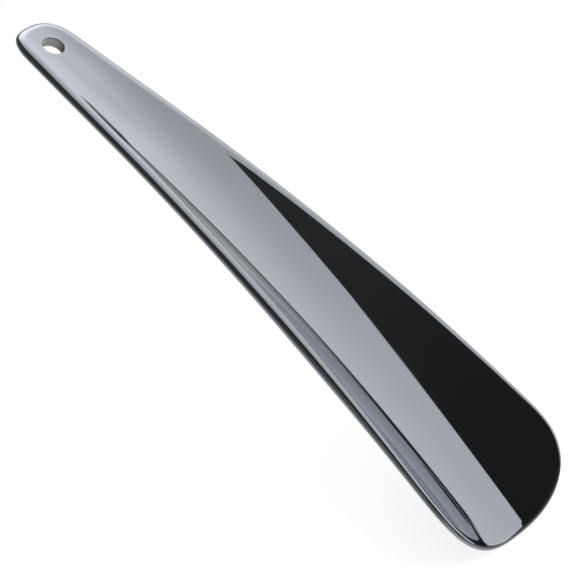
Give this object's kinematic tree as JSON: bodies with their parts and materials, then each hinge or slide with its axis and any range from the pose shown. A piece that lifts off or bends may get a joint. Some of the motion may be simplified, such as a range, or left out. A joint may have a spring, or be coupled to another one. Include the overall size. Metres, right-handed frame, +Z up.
{
  "type": "shoehorn",
  "caption": "One-piece polished metal shoehorn: a narrow handle with a hang hole runs out into a wide, drooping blade, troughed along its whole length, that guides a heel into a shoe.",
  "frame": {"origin": "on the table, under the middle of the shoehorn's bounding box, with the shoehorn lying hollow side up on its handle end and blade tip", "axes": "+X from the handle end to the blade tip, +Z up out of the hollow side, Y across the blade, whose halves mirror each other"},
  "size_m": [0.1712, 0.0464, 0.0128],
  "materials": {
    "polished_metal": "mirror-polished, smoky gunmetal tone"
  },
  "bodies": {
    "root": {"shoehorn_blade": "polished_metal"}
  },
  "joints": []
}
